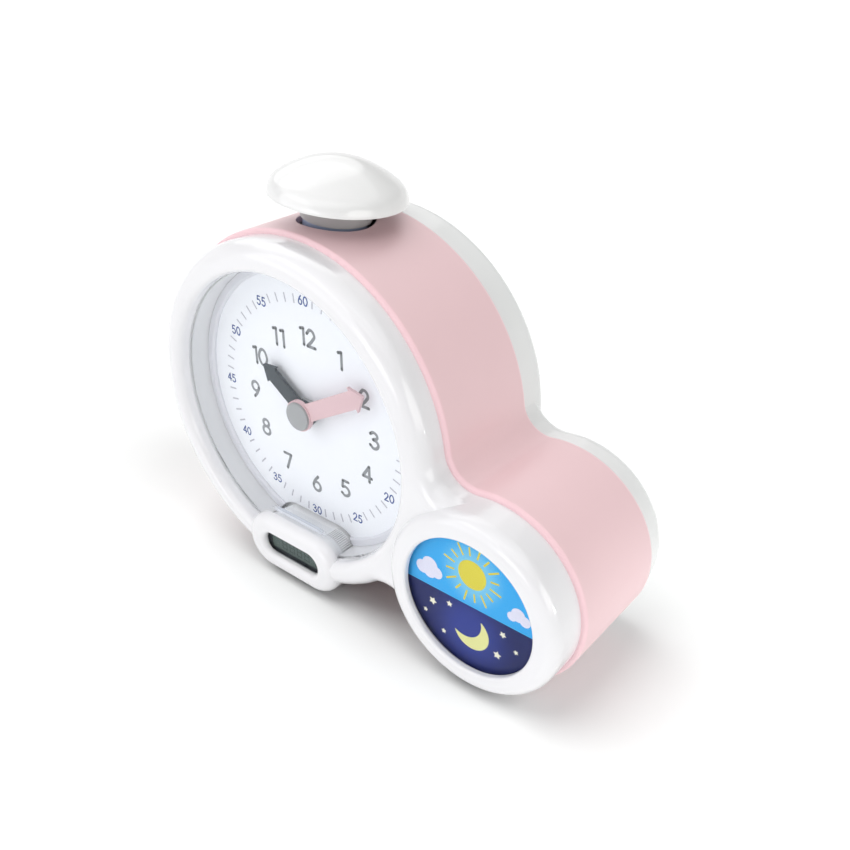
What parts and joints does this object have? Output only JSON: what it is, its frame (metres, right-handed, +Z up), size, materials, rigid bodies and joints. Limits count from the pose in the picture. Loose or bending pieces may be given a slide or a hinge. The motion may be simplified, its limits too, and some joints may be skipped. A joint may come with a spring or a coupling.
{
  "type": "kids alarm clock with night light",
  "caption": "Two-lobed children's alarm clock with an analogue dial, a small digital display, a lit day-and-night picture and a mushroom button on top.",
  "frame": {"origin": "under the middle of the bounding box, on the plane the rubber feet stand on", "axes": "+X to the right as the dial is read, -Y out of the dial towards the reader, +Z up"},
  "size_m": [0.2156, 0.0834, 0.182],
  "materials": {
    "front_frame": "moulded gloss white",
    "side_band": "moulded pink",
    "rubber_feet": "soft rubber",
    "rear_shell": "moulded off-white",
    "battery_door": "moulded off-white",
    "housing_screws": "zinc plated",
    "door_screw": "zinc plated",
    "dial_tray": "moulded grey",
    "dial_plate": "printed white",
    "dial_ring": "moulded pale grey",
    "dial_lens": "clear acrylic",
    "display_housing": "moulded gloss white",
    "display_panel": "liquid-crystal panel",
    "display_window": "clear acrylic",
    "display_board": "circuit board",
    "picture_cover": "clear acrylic",
    "picture_sheet": "printed translucent sheet",
    "light_box": "moulded white",
    "light_board": "circuit board",
    "day_leds": "diffused lens",
    "night_leds": "diffused lens",
    "hour_hand": "slate",
    "minute_hand": "dusty pink",
    "hub_cap": "grey",
    "minute_arbor": "turned",
    "centre_wheel": "moulded acetal",
    "hour_wheel": "moulded acetal",
    "minute_wheel": "moulded acetal",
    "drive_wheel": "moulded acetal",
    "rotor": "magnet on a moulded arbor",
    "stator": "laminated iron",
    "coil": "enamelled winding",
    "movement_cover": "moulded black",
    "movement_nut": "turned",
    "movement_case": "moulded black",
    "setting_knob": "moulded grey",
    "button_cap": "moulded gloss white",
    "button_skirt": "moulded grey",
    "button_plunger": "moulded",
    "plunger_clip": "sprung",
    "return_spring": "spring steel",
    "button_guide": "translucent bluish",
    "button_switch": "black",
    "main_board": "circuit board",
    "board_parts": "black",
    "key_switches": "black",
    "key_alarm": "grey",
    "key_hour": "grey",
    "key_minute": "grey",
    "key_light": "grey",
    "sound_slider": "grey",
    "slider_switch": "black",
    "speaker": "black",
    "power_jack": "black",
    "aa_cells": "plain wrapped",
    "contact_plates": "nickel plated",
    "contact_springs": "nickel plated"
  },
  "bodies": {
    "case": {"front_frame": "front_frame", "side_band": "side_band", "rubber_feet": "rubber_feet", "rear_shell": "rear_shell", "housing_screws": "housing_screws", "dial_tray": "dial_tray", "dial_plate": "dial_plate", "dial_ring": "dial_ring", "dial_lens": "dial_lens", "display_housing": "display_housing", "display_panel": "display_panel", "display_window": "display_window", "display_board": "display_board", "picture_cover": "picture_cover", "picture_sheet": "picture_sheet", "light_box": "light_box", "light_board": "light_board", "day_leds": "day_leds", "night_leds": "night_leds", "stator": "stator", "coil": "coil", "movement_cover": "movement_cover", "movement_nut": "movement_nut", "movement_case": "movement_case", "button_guide": "button_guide", "button_switch": "button_switch", "return_spring": "return_spring", "main_board": "main_board", "board_parts": "board_parts", "key_switches": "key_switches", "slider_switch": "slider_switch", "speaker": "speaker", "power_jack": "power_jack", "aa_cells": "aa_cells", "contact_plates": "contact_plates", "contact_springs": "contact_springs"},
    "door": {"battery_door": "battery_door", "door_screw": "door_screw"},
    "minute": {"minute_hand": "minute_hand", "hub_cap": "hub_cap", "minute_arbor": "minute_arbor", "centre_wheel": "centre_wheel"},
    "hour": {"hour_hand": "hour_hand", "hour_wheel": "hour_wheel"},
    "setting": {"minute_wheel": "minute_wheel", "setting_knob": "setting_knob"},
    "drive": {"drive_wheel": "drive_wheel"},
    "rotor": {"rotor": "rotor"},
    "button": {"button_cap": "button_cap", "button_skirt": "button_skirt", "button_plunger": "button_plunger", "plunger_clip": "plunger_clip"},
    "alarm_key": {"key_alarm": "key_alarm"},
    "hour_key": {"key_hour": "key_hour"},
    "minute_key": {"key_minute": "key_minute"},
    "light_key": {"key_light": "key_light"},
    "slider": {"sound_slider": "sound_slider"}
  },
  "joints": [
    {"name": "minute_turn", "type": "hinge", "parent": "case", "child": "minute", "pos_m": [-0.0306, -0.02025, 0.0812], "axis": [0, 1, 0], "continuous": true},
    {"name": "hour_turn", "type": "hinge", "parent": "case", "child": "hour", "pos_m": [-0.0306, -0.02025, 0.0812], "axis": [0, 1, 0], "continuous": true},
    {"name": "setting_turn", "type": "hinge", "parent": "case", "child": "setting", "pos_m": [-0.0306, -0.02025, 0.0912], "axis": [0, 1, 0], "continuous": true},
    {"name": "drive_turn", "type": "hinge", "parent": "case", "child": "drive", "pos_m": [-0.041, -0.02025, 0.0812], "axis": [0, 1, 0], "continuous": true},
    {"name": "rotor_turn", "type": "hinge", "parent": "case", "child": "rotor", "pos_m": [-0.041, -0.02025, 0.0708], "axis": [0, 1, 0], "continuous": true},
    {"name": "button_press", "type": "slide", "parent": "case", "child": "button", "axis": [-0.1096, -0.0486, -0.9928], "range_m": [0, 0.004], "stiffness_N_per_m": 400, "springref_m": -0.004, "deforming": ["return_spring"]},
    {"name": "door_swing", "type": "hinge", "parent": "case", "child": "door", "pos_m": [-0.0306, 0.04065, 0.024], "axis": [-1, 0, 0], "range_deg": [0, 85]},
    {"name": "sound_slide", "type": "slide", "parent": "case", "child": "slider", "axis": [1, 0, 0], "range_m": [-0.003, 0.003]},
    {"name": "alarm_key_press", "type": "slide", "parent": "case", "child": "alarm_key", "axis": [0, -1, 0], "range_m": [0, 0.0008], "stiffness_N_per_m": 600, "springref_m": -0.0005},
    {"name": "hour_key_press", "type": "slide", "parent": "case", "child": "hour_key", "axis": [0, -1, 0], "range_m": [0, 0.0008], "stiffness_N_per_m": 600, "springref_m": -0.0005},
    {"name": "minute_key_press", "type": "slide", "parent": "case", "child": "minute_key", "axis": [0, -1, 0], "range_m": [0, 0.0008], "stiffness_N_per_m": 600, "springref_m": -0.0005},
    {"name": "light_key_press", "type": "slide", "parent": "case", "child": "light_key", "axis": [0, -1, 0], "range_m": [0, 0.0008], "stiffness_N_per_m": 600, "springref_m": -0.0005}
  ],
  "couplings": [
    {"joint": "hour_turn", "follows": "minute_turn", "ratio": 0.083333},
    {"joint": "setting_turn", "follows": "minute_turn", "ratio": -0.33333},
    {"joint": "drive_turn", "follows": "minute_turn", "ratio": -3.3333},
    {"joint": "rotor_turn", "follows": "minute_turn", "ratio": 11.111}
  ]
}
